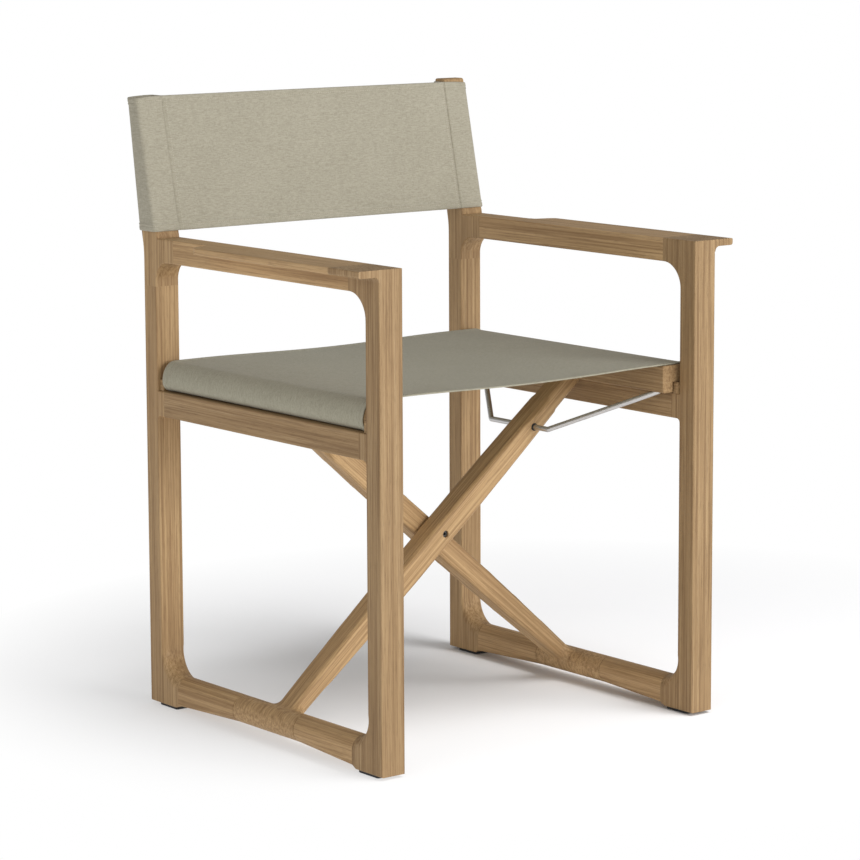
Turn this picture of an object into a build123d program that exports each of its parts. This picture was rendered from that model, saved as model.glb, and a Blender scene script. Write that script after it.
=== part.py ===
"""Folding director chair: two timber side frames, a pair of crossed bars and two fabric slings.

Millimetres, +Z up, the front faces -Y, floor at z = 0. Left and right are as seen from the
front, so right is +X. Pieces are drawn about the plane y = 0 where the two cross bars meet,
and written with the origin on the floor in the middle of the chair's width and depth.
"""

from build123d import *
from math import cos, radians, sin, tan
import os

# ---- driving dimensions -------------------------------------------------
FRAME_X = 260.5  # centre plane of each side frame
STOCK = 36.2  # thickness of the side frame timber, across X
HALF = STOCK / 2
MID_DEPTH = 15.35  # middle of the chair's depth, from the plane between the cross bars
EDGE = 1.8  # rounding on the long edges of the timber
LEG_OUT = 261.25  # outer face of every leg, in Y
LEG_IN = 232.0  # inner face of every leg, in Y
GLIDE_T = 4.0  # glide thickness, so the timber starts here
ARM_TOP = 640.0
ARM_UNDER = 608.5
ARM_CORNER = 34.0  # radius of the inner corner between arm and front leg
POST_CORNER = 26.0  # the same between arm and back post
FRONT_JOINT = 198.0  # corner block joints of the front leg
REAR_JOINT = 195.0  # corner block joint of the rear leg
POST_JOINT = 190.0  # joint between the armrest and the back post
RAIL_TOP = 45.0  # top of the bottom rail
RAIL_UNDER = 8.0  # underside of the bottom rail where it meets a leg
FOOT_Z = RAIL_TOP - HALF  # axis of the turning foot
FOOT_FRONT = -72.0  # joints of the turning foot, in Y
FOOT_REAR = 65.0
FOOT_GAP = 1.0  # flange room at each end of a foot
SEAT_RAIL_Z = (400.4, 434.5)
SEAT_RAIL_JOINT = 217.0
SEAT_RAIL_CORNER = 5.5
POST_JOINT_Z = 575.0
POST_TOP = 831.5  # the right post stands proud of its sleeve
LEFT_POST_TOP = 823.8  # the left one ends just inside its sleeve
CROWN_DROP = 3.5  # height of the rounded top of a post
POST_FRONT = ((232.0, 658.0), (269.6, 828.0))  # straight raked faces of the post, as (y, z)
POST_REAR = ((266.3, 650.0), (291.0, 828.0))
POST_RAKE = 12.5
PAD_OUT = 309.6  # outer edge of the arm pad
PAD_T = 9.0
PAD_UNDER_R = 3.5
COVE_R = 7.0
PAD_REAR = 112.0  # the pad sweeps back into the arm here

CROSS_Z = 245.0  # height of the crossing bolt
BAR_T = 37.2  # thickness of each cross bar, along Y
BAR_GAP = 1.0  # washer space between the two bars
BAR_ANGLE = 40.0  # cross bar angle from the floor when the chair is open
BAR_LOW = 339.7  # crossing bolt to foot axis
BAR_UP = 309.8  # crossing bolt to seat bar pin
BAR_MID_HALF = 16.4  # half width at the crossing
BAR_TIP_HALF = 10.7  # half width at the seat bar pin
BAR_EDGE = 6.5  # rounding on the long edges of a bar
CS = cos(radians(BAR_ANGLE))
SN = sin(radians(BAR_ANGLE))
PIN_X = BAR_UP * CS
PIN_Z = CROSS_Z + BAR_UP * SN

SEAT_BAR_IN = 218.0  # inner flat face of a seat bar
SEAT_BAR_OUT = 275.0
SEAT_ROLL = 17.0  # width of the rounded outer shoulder
SEAT_BAR_Z = (436.3, 472.7)
SEAT_BAR_END = 227.0
STOP_TOP = 449.6
STOP_END = 223.4
FABRIC_T = 1.2
SLACK = 0.3  # room between cloth and timber
SEAT_CLOTH_END = 222.4
GROOVE_X = 255.2  # groove that locks the edge of the seat cloth
GROOVE_W = 6.4
GROOVE_D = 8.5
BACK_Z = (649.5, 826.0)

ROD_R = 4.0  # foot rods, hinge pins
ROD_HOLD = 45.0  # length of foot rod held in each fixed rail
RUN = 0.06  # radial running clearance
SNUG = 0.02  # radial clearance of a fixed fit
BUSH_R = 6.5
BUSH_L = 18.0
BUSH_FLANGE_R = HALF - 2.0
BAIL_R = 3.7
BAIL_S = 201.4  # crossing bolt to bail, along the bar
BAIL_BUSH_R = 5.3
BAIL_FRONT = (-66.0, 0.0)  # bends of the bail, as (Y, distance up the bar)
BAIL_REAR = (55.0, 0.0)

BAR_A_Y = -BAR_GAP / 2 - BAR_T  # front face of each bar
BAR_B_Y = BAR_GAP / 2
FOOT_LEN = FOOT_REAR - FOOT_FRONT - 2 * FOOT_GAP
STEM_SEAM_X = -235.0  # the stem meets its foot beyond this
STEM_BLEND = 14.0
BOLT_R = 3.0
BOLT_HEAD_R = 4.6
BOLT_HEAD_T = 5.0
BOLT_SINK = 8.0
NUT_SINK = 15.0
WASHER_R = 13.0
WASHER_T = 0.9
PIN_BEARING = 20.0  # hinge pin length in the seat bar, each side of the cross bar
PIN_LEN = BAR_T + 2 * PIN_BEARING
NOTCH_X = 235.0
GLIDES_Y = (-227.0, 224.0)
GLIDE_SIZE = (29.6, 42.0)
SCREW_R = 1.75
SCREW_HEAD_R = 3.9
SCREW_LEN = 15.0
RING_GROOVES_Y = (-8.0, -25.0)  # turned rings on the foot of bar B
ALONG_Y = (0, 1, 0)
ALONG_Z = (0, 0, 1)

os.makedirs("parts", exist_ok=True)


def save(part, label):
    """Write one piece, moved so that the middle of the chair's depth is over the origin."""
    placed = Pos(0, -MID_DEPTH, 0) * part
    placed.label = label
    export_step(placed, f"parts/{label}.step")


def save_pair(part, label):
    """Write a right-hand piece and its mirror image on the left."""
    save(part, f"right_{label}")
    save(mirror(part, about=Plane.YZ), f"left_{label}")


def side_plane(x):
    """Upright plane across X at x, with sketch x along Y and sketch y along Z."""
    return Plane.YZ.offset(x)


def y_plane(y):
    """Upright plane across Y at y, with sketch x along X and sketch y along Z."""
    return Plane(origin=(0, y, 0), x_dir=(1, 0, 0), z_dir=(0, -1, 0))


def block(low, high, mode=Mode.ADD):
    """Block between two corners, joined to or cut from the part being built."""
    size = [b - a for a, b in zip(low, high)]
    middle = [(a + b) / 2 for a, b in zip(low, high)]
    with Locations(tuple(middle)):
        Box(*size, mode=mode)


def rod(start, length, radius, direction=ALONG_Y, mode=Mode.ADD):
    """Round bar from start along direction, joined to or cut from the part being built."""
    with Locations(Plane(origin=start, z_dir=direction)):
        Cylinder(radius, length, align=(Align.CENTER, Align.CENTER, Align.MIN), mode=mode)


# ---- joints between the timbers of one side frame -------------------------
# centre (y, z) and size (x, y, z) of each loose tenon
TENONS = [
    ((-FRONT_JOINT, 27.0), (10, 36, 18)),
    ((REAR_JOINT, 27.0), (10, 36, 18)),
    ((-SEAT_RAIL_JOINT, 417.5), (10, 26, 20)),
    ((SEAT_RAIL_JOINT, 417.5), (10, 26, 20)),
    ((-FRONT_JOINT, 624.0), (12, 40, 14)),
    ((POST_JOINT, 624.0), (12, 40, 14)),
    ((246.6, POST_JOINT_Z), (14, 13, 44)),
]
TENON_FIT = 0.05


def tenon_blocks(grow=0.0, mode=Mode.ADD):
    """The loose tenons of the right side frame, each grown all round by grow."""
    for (y, z), size in TENONS:
        half_x, half_y, half_z = [side / 2 + grow for side in size]
        low = (FRAME_X - half_x, y - half_y, z - half_z)
        high = (FRAME_X + half_x, y + half_y, z + half_z)
        block(low, high, mode)


def cut_mortises():
    """Cut the tenons' mortises from the timber being built."""
    tenon_blocks(TENON_FIT, Mode.SUBTRACT)


def cut_glide_pilot(y):
    """Cut the pilot hole of a glide's screw from the leg being built."""
    rod((FRAME_X, y, GLIDE_T - 1), SCREW_LEN + 0.5, SCREW_R + 0.03, ALONG_Z, Mode.SUBTRACT)


def corner_loft(side, joint):
    """Inner corner between leg and bottom rail, turning from square to round topped.

    side is -1 for the front leg and 1 for the rear leg.
    """
    radius = LEG_IN - joint
    centre_z = RAIL_TOP + radius
    depth = 26.0
    steps = 5
    with BuildPart() as corner:
        for i in range(steps):
            part_way = i / (steps - 1)
            turn = radians(90 * part_way)
            # radial direction swings from pointing at the leg to pointing at the floor
            out = Vector(0, side * cos(turn), -sin(turn))
            along = Vector(1, 0, 0).cross(out)
            origin = Vector(FRAME_X, side * joint, centre_z) + out * radius
            inner_r = EDGE + (HALF - 0.1 - EDGE) * part_way
            with BuildSketch(Plane(origin=origin, x_dir=(1, 0, 0), z_dir=along)):
                with BuildLine():
                    # local y points along out, away from the arc centre
                    Line((-HALF, inner_r), (-HALF, depth))
                    Line((-HALF, depth), (HALF, depth))
                    Line((HALF, depth), (HALF, inner_r))
                    TangentArc((HALF, inner_r), (HALF - inner_r, 0), tangent=(0, -1))
                    Line((HALF - inner_r, 0), (inner_r - HALF, 0))
                    TangentArc((inner_r - HALF, 0), (-HALF, inner_r), tangent=(-1, 0))
                make_face()
        loft()
    return corner.part


def foot_core(side, joint):
    """Outer part of a leg's foot: the leg stub, and the block out to the rail joint."""
    arc_r = LEG_IN - joint
    depth = 20.0
    step = 7.0
    inner = corner_loft(side, joint)
    with BuildPart() as core:
        with BuildSketch(side_plane(FRAME_X)):
            with BuildLine():
                top = RAIL_TOP + arc_r
                Line((side * LEG_OUT, top), (side * LEG_OUT, GLIDE_T))
                Line((side * LEG_OUT, GLIDE_T), (side * (joint + step), GLIDE_T))
                Line((side * (joint + step), GLIDE_T), (side * joint, RAIL_UNDER))
                Line((side * joint, RAIL_UNDER), (side * joint, RAIL_TOP - depth))
                RadiusArc(
                    (side * joint, RAIL_TOP - depth),
                    (side * (LEG_IN + depth), top),
                    -side * (arc_r + depth),
                )
                Line((side * (LEG_IN + depth), top), (side * LEG_OUT, top))
            make_face()
        extrude(amount=HALF, both=True)
        face_y = side * LEG_OUT
        outer = core.edges().filter_by_position(Axis.Y, face_y - 0.1, face_y + 0.1).filter_by(Axis.Z)
        under = core.edges().filter_by_position(Axis.Z, GLIDE_T - 0.1, RAIL_UNDER - 0.1)
        long_under = [edge for edge in under if abs(edge.tangent_at(0.5).X) < 0.1]
        fillet(outer + long_under, EDGE)
        add(inner)
    return core.part


def long_fillet(part, joint_planes, radius=EDGE):
    """Round the profile edges on both side faces, but not those lying in a joint plane."""
    edges = []
    for edge in part.edges():
        middle = edge.center()
        on_side = abs(abs(middle.X - FRAME_X) - HALF) < 0.01
        at_joint = any(abs(getattr(middle, axis) - value) < 0.05 for axis, value in joint_planes)
        if on_side and not at_joint:
            edges.append(edge)
    return part.fillet(radius, edges)


def pad_block(y_low, y_high):
    """Stretch of the outward arm pad, with its cove under the overhang."""
    face = FRAME_X + HALF
    under = ARM_TOP - PAD_T
    lip_z, lip_x = under + PAD_UNDER_R, PAD_OUT - PAD_UNDER_R
    with BuildPart() as pad:
        with BuildSketch(y_plane(y_low)):
            with BuildLine():
                Line((FRAME_X, ARM_TOP), (PAD_OUT - EDGE, ARM_TOP))
                RadiusArc((PAD_OUT - EDGE, ARM_TOP), (PAD_OUT, ARM_TOP - EDGE), EDGE)
                Line((PAD_OUT, ARM_TOP - EDGE), (PAD_OUT, lip_z))
                RadiusArc((PAD_OUT, lip_z), (lip_x, under), PAD_UNDER_R)
                Line((lip_x, under), (face + COVE_R, under))
                RadiusArc((face + COVE_R, under), (face, under - COVE_R), -COVE_R)
                Line((face, under - COVE_R), (FRAME_X, under - COVE_R))
                Line((FRAME_X, under - COVE_R), (FRAME_X, ARM_TOP))
            make_face()
        extrude(amount=-(y_high - y_low))
    return pad.part


def front_leg():
    y0, y1 = -LEG_OUT, -LEG_IN
    arc = LEG_IN - FRONT_JOINT
    rail_low, rail_high = SEAT_RAIL_Z
    nook = SEAT_RAIL_CORNER
    with BuildPart() as post:
        with BuildSketch(side_plane(FRAME_X)):
            with BuildLine():
                Polyline((-FRONT_JOINT, ARM_UNDER), (-FRONT_JOINT, ARM_TOP), (y0, ARM_TOP),
                         (y0, RAIL_TOP + arc), (y1, RAIL_TOP + arc), (y1, rail_low - nook))
                RadiusArc((y1, rail_low - nook), (y1 + nook, rail_low), nook)
                Polyline((y1 + nook, rail_low), (-SEAT_RAIL_JOINT, rail_low),
                         (-SEAT_RAIL_JOINT, rail_high), (y1, rail_high), (y1, ARM_UNDER - ARM_CORNER))
                RadiusArc((y1, ARM_UNDER - ARM_CORNER), (-FRONT_JOINT, ARM_UNDER), ARM_CORNER)
            make_face()
        extrude(amount=HALF, both=True)
    planes = [("Y", -SEAT_RAIL_JOINT), ("Y", -FRONT_JOINT), ("Z", RAIL_TOP + arc)]
    pieces = [long_fillet(post.part, planes), foot_core(-1, FRONT_JOINT), pad_block(y0, -FRONT_JOINT)]
    with BuildPart() as leg:
        add(pieces)
        cut_mortises()
        cut_glide_pilot(GLIDES_Y[0])
    return leg.part


def rear_leg():
    y0, y1 = LEG_OUT, LEG_IN
    arc = LEG_IN - REAR_JOINT
    rail_low, rail_high = SEAT_RAIL_Z
    nook = SEAT_RAIL_CORNER
    with BuildPart() as post:
        with BuildSketch(side_plane(FRAME_X)):
            with BuildLine():
                Polyline((y1, POST_JOINT_Z), (y0, POST_JOINT_Z), (y0, RAIL_TOP + arc), (y1, RAIL_TOP + arc),
                         (y1, rail_low - nook))
                RadiusArc((y1, rail_low - nook), (y1 - nook, rail_low), -nook)
                Polyline((y1 - nook, rail_low), (SEAT_RAIL_JOINT, rail_low),
                         (SEAT_RAIL_JOINT, rail_high), (y1, rail_high), (y1, POST_JOINT_Z))
            make_face()
        extrude(amount=HALF, both=True)
    planes = [("Y", SEAT_RAIL_JOINT), ("Z", POST_JOINT_Z), ("Z", RAIL_TOP + arc)]
    pieces = [long_fillet(post.part, planes), foot_core(1, REAR_JOINT)]
    with BuildPart() as leg:
        add(pieces)
        cut_mortises()
        cut_glide_pilot(GLIDES_Y[1])
    return leg.part


def on_face(face, z):
    """Y of a post's straight raked face at height z."""
    (y0, z0), (y1, z1) = face
    return round(y0 + (z - z0) * (y1 - y0) / (z1 - z0), 3)


def back_post(top):
    """Upper part of the rear upright: plumb behind the arm, then raked and tapered."""
    under_r = POST_CORNER
    shoulder_z = top - CROWN_DROP
    front_low, front_high = POST_FRONT[0], (on_face(POST_FRONT, shoulder_z), shoulder_z)
    rear_low, rear_high = POST_REAR[0], (on_face(POST_REAR, shoulder_z), shoulder_z)
    lean = tan(radians(POST_RAKE))
    rear_lean = (POST_REAR[1][0] - POST_REAR[0][0]) / (POST_REAR[1][1] - POST_REAR[0][1])
    heel = (227.8, ARM_TOP)
    crown_front, crown_rear = (front_high[0] + 4.4, top), (rear_high[0] - 4.0, top)
    plumb_top = (LEG_OUT, 606.0)
    with BuildPart() as post:
        with BuildSketch(side_plane(FRAME_X)):
            with BuildLine():
                Line((LEG_IN, POST_JOINT_Z), (LEG_IN, ARM_UNDER - under_r))
                RadiusArc((LEG_IN, ARM_UNDER - under_r), (LEG_IN - under_r, ARM_UNDER), -under_r)
                Polyline((LEG_IN - under_r, ARM_UNDER), (POST_JOINT, ARM_UNDER),
                         (POST_JOINT, ARM_TOP), heel)
                Spline(heel, (229.4, 647.5), front_low, tangents=[(0.05, 1), (lean, 1)])
                Line(front_low, front_high)
                Spline(front_high, crown_front, tangents=[(lean, 1), (1, 0)])
                Line(crown_front, crown_rear)
                Spline(crown_rear, rear_high, tangents=[(1, 0), (-rear_lean, -1)])
                Line(rear_high, rear_low)
                Spline(rear_low, (262.4, 628.0), plumb_top, tangents=[(-rear_lean, -1), (0, -1)])
                Line(plumb_top, (LEG_OUT, POST_JOINT_Z))
                Line((LEG_OUT, POST_JOINT_Z), (LEG_IN, POST_JOINT_Z))
            make_face()
        extrude(amount=HALF, both=True)
    rounded = long_fillet(post.part, [("Y", POST_JOINT), ("Z", POST_JOINT_Z)])
    with BuildPart() as finished:
        add(rounded)
        cut_mortises()
    return finished.part


def armrest():
    with BuildPart() as body:
        with BuildSketch(side_plane(FRAME_X)):
            with BuildLine():
                Polyline((-FRONT_JOINT, ARM_UNDER), (POST_JOINT, ARM_UNDER), (POST_JOINT, ARM_TOP),
                         (-FRONT_JOINT, ARM_TOP), close=True)
            make_face()
        extrude(amount=HALF, both=True)
    rounded = long_fillet(body.part, [("Y", -FRONT_JOINT), ("Y", POST_JOINT)])
    # outline of the pad seen from above, which trims its rear end to an S
    face = FRAME_X + HALF
    turn_y, end_y = PAD_REAR - 22, PAD_REAR + 8
    front_y = -FRONT_JOINT - 1
    with BuildPart() as outline:
        with BuildSketch(Plane.XY.offset(ARM_TOP - 20)):
            with BuildLine():
                Polyline((FRAME_X, end_y), (FRAME_X, front_y), (PAD_OUT + 1, front_y),
                         (PAD_OUT + 1, turn_y), (PAD_OUT, turn_y))
                Spline((PAD_OUT, turn_y), (PAD_OUT - 6, PAD_REAR - 9), (face + 6, PAD_REAR - 2),
                       (face, end_y), tangents=[(0, 1), (0, 1)])
                Line((face, end_y), (FRAME_X, end_y))
            make_face()
        extrude(amount=30)
    blank = pad_block(-FRONT_JOINT, end_y)
    with BuildPart() as pad:
        add(blank)
        add(outline.part, mode=Mode.INTERSECT)
    with BuildPart() as finished:
        add(rounded)
        add(pad.part)
        cut_mortises()
    return finished.part


def seat_rail():
    with BuildPart() as rail:
        with BuildSketch(y_plane(-SEAT_RAIL_JOINT)):
            with Locations((FRAME_X, sum(SEAT_RAIL_Z) / 2)):
                RectangleRounded(STOCK, SEAT_RAIL_Z[1] - SEAT_RAIL_Z[0], EDGE)
        extrude(amount=-2 * SEAT_RAIL_JOINT)
        cut_mortises()
    return rail.part


def rail_section(y, under, corner):
    """Arch section of the bottom rail: round top, flat underside with rounded corners."""
    with BuildSketch(y_plane(y)) as section:
        with BuildLine():
            mid = under + corner
            CenterArc((FRAME_X, FOOT_Z), HALF, 0, 180)
            Line((FRAME_X - HALF, FOOT_Z), (FRAME_X - HALF, mid))
            RadiusArc((FRAME_X - HALF, mid), (FRAME_X - HALF + corner, under), -corner)
            Line((FRAME_X - HALF + corner, under), (FRAME_X + HALF - corner, under))
            RadiusArc((FRAME_X + HALF - corner, under), (FRAME_X + HALF, mid), -corner)
            Line((FRAME_X + HALF, mid), (FRAME_X + HALF, FOOT_Z))
        make_face()
    return section.sketch


def foot_rail(y_leg, y_foot):
    """Fixed part of the bottom rail, from a leg's corner block to the turning foot."""
    leg_end = rail_section(y_leg, RAIL_UNDER, EDGE)
    foot_end = rail_section(y_foot, RAIL_TOP - STOCK + 0.2, HALF - 0.5)
    with BuildPart() as rail:
        add([leg_end, foot_end])
        loft(ruled=True)
        cut_mortises()
        # blind hole for the foot rod
        toward_leg = 1 if y_leg > y_foot else -1
        start = (FRAME_X, y_foot - toward_leg, FOOT_Z)
        rod(start, ROD_HOLD + 2, ROD_R + SNUG, (0, toward_leg, 0), Mode.SUBTRACT)
    return rail.part


# ---- glides, their screws, the seat stops ----------------------------------
def glides():
    recess_r, recess_depth = SCREW_HEAD_R + 0.4, 2.4
    with BuildPart() as pads:
        for y in GLIDES_Y:
            with BuildSketch(Plane.XY):
                with Locations((FRAME_X, y)):
                    RectangleRounded(*GLIDE_SIZE, 4)
            extrude(amount=GLIDE_T)
        bottom = pads.edges().filter_by_position(Axis.Z, -0.01, 0.01)
        chamfer(bottom, 0.8)
        for y in GLIDES_Y:
            rod((FRAME_X, y, 0), recess_depth, recess_r, ALONG_Z, Mode.SUBTRACT)
            rod((FRAME_X, y, 0), GLIDE_T, SCREW_R + 0.15, ALONG_Z, Mode.SUBTRACT)
    return pads.part


def glide_screws():
    head_z, head_t = 0.6, 1.7
    with BuildPart() as screws:
        for y in GLIDES_Y:
            rod((FRAME_X, y, head_z), head_t, SCREW_HEAD_R, ALONG_Z)
            rod((FRAME_X, y, head_z + head_t - 0.1), SCREW_LEN, SCREW_R, ALONG_Z)
    return screws.part


def seat_stops():
    """Small ledges on the seat rail ends that the seat bar rests on."""
    with BuildPart() as stops:
        for side in (-1, 1):
            near, far = side * STOP_END, side * (LEG_IN - 0.05)
            low = (FRAME_X - 22.0, min(near, far), SEAT_RAIL_Z[1])
            high = (FRAME_X + HALF - 3.5, max(near, far), STOP_TOP)
            block(low, high)
        uprights = stops.edges().filter_by(Axis.Z)
        fillet(uprights, 1.0)
    return stops.part


def tenons():
    with BuildPart() as group:
        tenon_blocks()
    return group.part


# ---- turning feet and cross bars -------------------------------------------
def foot_rod():
    with BuildPart() as bar:
        start = (FRAME_X, FOOT_FRONT - ROD_HOLD, FOOT_Z)
        rod(start, FOOT_REAR - FOOT_FRONT + 2 * ROD_HOLD, ROD_R)
    return bar.part


def foot_bushes():
    """Flanged bushes at both ends of a turning foot."""
    with BuildPart() as bushes:
        for y, way in ((FOOT_FRONT, 1), (FOOT_REAR, -1)):
            rod((FRAME_X, y + way * 0.1, FOOT_Z), FOOT_GAP - 0.1, BUSH_FLANGE_R, (0, way, 0))
            rod((FRAME_X, y + way * FOOT_GAP, FOOT_Z), BUSH_L, BUSH_R, (0, way, 0))
        start = (FRAME_X, FOOT_FRONT - 1, FOOT_Z)
        rod(start, FOOT_REAR - FOOT_FRONT + 2, ROD_R + RUN, mode=Mode.SUBTRACT)
    return bushes.part


def along_bar(distance, offset=0.0):
    """Point in XZ at a distance up cross bar A from the crossing, and offset square to it."""
    return (distance * CS - offset * SN, CROSS_Z + distance * SN + offset * CS)


def bar_half(distance):
    """Half width of a bar, widest at the crossing."""
    return BAR_MID_HALF - (BAR_MID_HALF - BAR_TIP_HALF) * (distance / BAR_UP) ** 2


def cross_bar(y_low):
    """Bar rising from the left foot to the right seat bar, with its turning foot in one piece."""
    y_high = y_low + BAR_T
    low = 4 - BAR_LOW
    with BuildPart() as stem:
        with BuildSketch(y_plane(y_low)):
            with BuildLine():
                ThreePointArc(along_bar(low, bar_half(low)), along_bar(0, BAR_MID_HALF),
                              along_bar(BAR_UP, BAR_TIP_HALF))
                ThreePointArc(along_bar(BAR_UP, BAR_TIP_HALF), along_bar(BAR_UP + BAR_TIP_HALF),
                              along_bar(BAR_UP, -BAR_TIP_HALF))
                ThreePointArc(along_bar(BAR_UP, -BAR_TIP_HALF), along_bar(0, -BAR_MID_HALF),
                              along_bar(low, -bar_half(low)))
                Line(along_bar(low, -bar_half(low)), along_bar(low, bar_half(low)))
            make_face()
        extrude(amount=-BAR_T)
        long_edges = stem.edges().filter_by_position(Axis.Y, y_low - 0.01, y_low + 0.01)
        long_edges += stem.edges().filter_by_position(Axis.Y, y_high - 0.01, y_high + 0.01)
        fillet(long_edges, BAR_EDGE)
    with BuildPart() as foot:
        rod((-FRAME_X, FOOT_FRONT + FOOT_GAP, FOOT_Z), FOOT_LEN, HALF)
    foot_edges = foot.edges()
    mid_y = (y_low + y_high) / 2
    bail_x, bail_z = along_bar(BAIL_S)
    with BuildPart() as bar:
        add([stem.part, foot.part])
        seam = [edge for edge in bar.edges()
                if edge.center().X < STEM_SEAM_X and edge.length < BAR_T
                and edge not in foot_edges and abs(edge.center().Y - mid_y) < BAR_T / 2 + 1]
        fillet(seam, STEM_BLEND)
        for x, z, radius in ((0, CROSS_Z, BOLT_R + RUN), (bail_x, bail_z, BAIL_BUSH_R + SNUG),
                             (PIN_X, PIN_Z, ROD_R + RUN)):
            rod((x, y_low - 1, z), BAR_T + 2, radius, mode=Mode.SUBTRACT)
        for y, way in ((FOOT_FRONT, 1), (FOOT_REAR, -1)):
            start = (-FRAME_X, y + way * FOOT_GAP, FOOT_Z)
            rod(start, BUSH_L, BUSH_R + SNUG, (0, way, 0), Mode.SUBTRACT)
        start = (-FRAME_X, FOOT_FRONT, FOOT_Z)
        rod(start, FOOT_REAR - FOOT_FRONT, ROD_R + 0.5, mode=Mode.SUBTRACT)
    return bar.part


def cross_bar_a():
    plain = cross_bar(BAR_A_Y)
    with BuildPart() as bar:
        add(plain)
        rod((0, BAR_A_Y - 1, CROSS_Z), BOLT_SINK + 1, BOLT_HEAD_R + 0.15, mode=Mode.SUBTRACT)
    return bar.part


def cross_bar_b():
    """The other bar rises from the right foot, just behind the first."""
    plain = mirror(cross_bar(BAR_B_Y), about=Plane.YZ)
    with BuildPart() as bar:
        add(plain)
        start = (0, BAR_B_Y + BAR_T - NUT_SINK, CROSS_Z)
        rod(start, NUT_SINK + 1, BOLT_HEAD_R + 0.15, mode=Mode.SUBTRACT)
        for y in RING_GROOVES_Y:
            with BuildSketch(Plane(origin=(FRAME_X, y, FOOT_Z), x_dir=(0, 0, 1), z_dir=(0, 1, 0))):
                Circle(HALF + 1)
                Circle(HALF - 0.5, mode=Mode.SUBTRACT)
            extrude(amount=0.5, both=True, mode=Mode.SUBTRACT)
    return bar.part


def pivot_bolt():
    head_y = BAR_A_Y + BOLT_SINK - BOLT_HEAD_T
    shank = BAR_B_Y + BAR_T - 5.0 - head_y
    with BuildPart() as bolt:
        rod((0, head_y, CROSS_Z), BOLT_HEAD_T - 0.05, BOLT_HEAD_R)
        rod((0, head_y, CROSS_Z), shank, BOLT_R)
        with BuildSketch(Plane(origin=(0, head_y, CROSS_Z), x_dir=(1, 0, 0), z_dir=(0, -1, 0))):
            RegularPolygon(2.3, 6)
        extrude(amount=-3, mode=Mode.SUBTRACT)
    return bolt.part


def pivot_nut():
    start_y = BAR_B_Y + BAR_T - NUT_SINK + 0.05
    with BuildPart() as nut:
        rod((0, start_y, CROSS_Z), NUT_SINK - 2.0, BOLT_HEAD_R)
        rod((0, start_y - 1, CROSS_Z), NUT_SINK, BOLT_R + SNUG, mode=Mode.SUBTRACT)
    return nut.part


def pivot_washer():
    with BuildPart() as washer:
        rod((0, -WASHER_T / 2, CROSS_Z), WASHER_T, WASHER_R)
        rod((0, -1, CROSS_Z), 2, BOLT_R + RUN, mode=Mode.SUBTRACT)
    return washer.part


# ---- bails ------------------------------------------------------------------
def bail():
    """Steel rod through a cross bar whose two arms reach out to the ends of the seat bar."""
    reach = BAR_UP - BAIL_S
    x, z = along_bar(BAIL_S)
    plane = Plane(origin=(x, 0, z), x_dir=(0, 1, 0), z_dir=(SN, 0, -CS))
    with BuildPart() as wire:
        with BuildLine(plane) as path:
            FilletPolyline((-222.0, reach), (-214.0, reach), (-208.0, reach - 12), BAIL_FRONT,
                           BAIL_REAR, (166.0, reach - 11), (171.5, reach), (179.0, reach), radius=4.0)
        with BuildSketch(Plane(origin=path.line @ 0, z_dir=path.line % 0)):
            Circle(BAIL_R)
        sweep()
    return wire.part


def bail_bush(y_low):
    x, z = along_bar(BAIL_S)
    with BuildPart() as bush:
        rod((x, y_low - 0.6, z), BAR_T + 1.0, BAIL_BUSH_R)
        rod((x, y_low - 2, z), BAR_T + 4, BAIL_R + 0.03, mode=Mode.SUBTRACT)
    return bush.part


# ---- seat bars ----------------------------------------------------------------
def sweep_pocket(y_low, y_high, half):
    """Room around the seat bar pin for a bar or rod that swings from open to folded."""
    up_x, up_z = -SN * half, CS * half
    far = 60.0
    with BuildPart() as pocket:
        with BuildSketch(y_plane(y_low)):
            with Locations((PIN_X, PIN_Z)):
                Circle(half)
            with BuildLine():
                Polyline((PIN_X + up_x, PIN_Z + up_z), (PIN_X + up_x - far * CS, PIN_Z + up_z - far * SN),
                         (PIN_X + half, PIN_Z - far), (PIN_X + half, PIN_Z), (PIN_X, PIN_Z), close=True)
            make_face()
        extrude(amount=y_low - y_high)
    return pocket.part


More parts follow.
